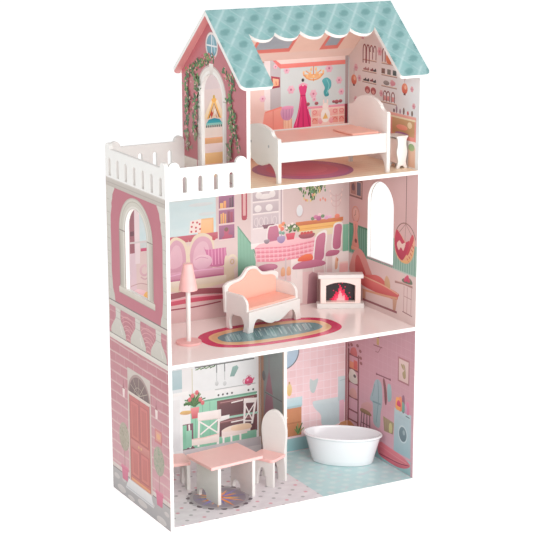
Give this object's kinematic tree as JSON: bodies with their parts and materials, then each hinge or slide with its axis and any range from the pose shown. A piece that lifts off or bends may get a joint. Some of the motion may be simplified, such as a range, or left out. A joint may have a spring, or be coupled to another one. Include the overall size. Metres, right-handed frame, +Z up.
{
  "type": "wooden dollhouse",
  "caption": "Tall open-fronted toy house with printed walls, a railed balcony, a pitched roof with a scalloped opening, and loose painted furniture.",
  "frame": {"origin": "on the ground under the middle of the whole house, roof overhangs included", "axes": "+Z up, +X to the right seen from the open front, +Y towards the closed back"},
  "size_m": [0.61, 0.322, 1.044],
  "materials": {
    "white_board": "smooth white lacquer on fibreboard",
    "printed_wall": "printed paper laminate with white painted edges",
    "printed_floor": "printed paper laminate with white painted edges",
    "printed_back": "printed paper laminate",
    "printed_roof": "printed paper laminate with white painted edges",
    "dowel_wood": "raw turned beech",
    "zinc_steel": "zinc plated",
    "white_paint": "satin white paint on fibreboard",
    "coral_paint": "satin coral paint on fibreboard",
    "pink_paint": "satin pink paint on fibreboard",
    "fire_print": "printed paper laminate",
    "tub_plastic": "moulded glossy white plastic"
  },
  "bodies": {
    "root": {"base_panel": "printed_floor", "middle_floor": "printed_floor", "attic_floor": "printed_floor", "left_wall": "printed_wall", "right_wall": "printed_wall", "attic_left_wall": "printed_wall", "partition_wall": "printed_wall", "back_panel_ground": "printed_back", "back_panel_middle": "printed_back", "back_panel_attic": "printed_back", "front_railing": "white_board", "back_railing": "white_board", "front_roof_panel": "printed_roof", "back_roof_panel": "printed_roof", "floor_dowels": "dowel_wood", "railing_dowels": "dowel_wood", "roof_dowels": "dowel_wood", "cam_bolts": "zinc_steel", "cam_discs": "zinc_steel"},
    "bed": {"bed_footboard": "white_paint", "bed_headboard": "white_paint", "bed_front_rail": "white_paint", "bed_back_rail": "white_paint", "bed_mattress": "coral_paint", "bed_screws": "zinc_steel"},
    "pillow": {"bed_pillow": "coral_paint"},
    "nightstand": {"nightstand_near_side": "white_paint", "nightstand_far_side": "white_paint", "nightstand_drawer_front": "coral_paint", "nightstand_back": "white_paint", "nightstand_top": "white_paint"},
    "sofa": {"sofa_back": "white_paint", "sofa_back_pad": "coral_paint", "sofa_left_arm": "white_paint", "sofa_right_arm": "white_paint", "sofa_apron": "white_paint", "sofa_seat": "white_paint", "sofa_seat_pad": "coral_paint"},
    "lamp": {"lamp_base": "pink_paint", "lamp_post": "white_paint", "lamp_shade": "pink_paint"},
    "fireplace": {"fireplace_base": "white_paint", "fireplace_surround": "pink_paint", "fireplace_fire": "fire_print", "fireplace_mantel": "white_paint"},
    "table": {"table_top": "pink_paint", "table_left_leg": "white_paint", "table_right_leg": "white_paint"},
    "chair_right": {"chair_right_back": "white_paint", "chair_right_legs": "white_paint", "chair_right_seat": "pink_paint"},
    "chair_left": {"chair_left_back": "white_paint", "chair_left_legs": "white_paint", "chair_left_seat": "pink_paint"},
    "bathtub": {"bathtub": "tub_plastic"}
  },
  "joints": [
    {"name": "bed_out", "type": "slide", "parent": "root", "child": "bed", "axis": [0, -1, 0], "range_m": [0, 0.3]},
    {"name": "pillow_lift", "type": "slide", "parent": "bed", "child": "pillow", "axis": [0, 0, 1], "range_m": [0, 0.06]},
    {"name": "nightstand_out", "type": "slide", "parent": "root", "child": "nightstand", "axis": [0, -1, 0], "range_m": [0, 0.3]},
    {"name": "sofa_out", "type": "slide", "parent": "root", "child": "sofa", "axis": [0, -1, 0], "range_m": [0, 0.3]},
    {"name": "lamp_out", "type": "slide", "parent": "root", "child": "lamp", "axis": [0, -1, 0], "range_m": [0, 0.3]},
    {"name": "fireplace_out", "type": "slide", "parent": "root", "child": "fireplace", "axis": [0, -1, 0], "range_m": [0, 0.3]},
    {"name": "table_out", "type": "slide", "parent": "root", "child": "table", "axis": [0, -1, 0], "range_m": [0, 0.3]},
    {"name": "chair_right_out", "type": "slide", "parent": "root", "child": "chair_right", "axis": [0, -1, 0], "range_m": [0, 0.3]},
    {"name": "chair_left_lift", "type": "slide", "parent": "root", "child": "chair_left", "axis": [0, 0, 1], "range_m": [0, 0.17]},
    {"name": "bathtub_out", "type": "slide", "parent": "root", "child": "bathtub", "axis": [0, -1, 0], "range_m": [0, 0.3]}
  ]
}
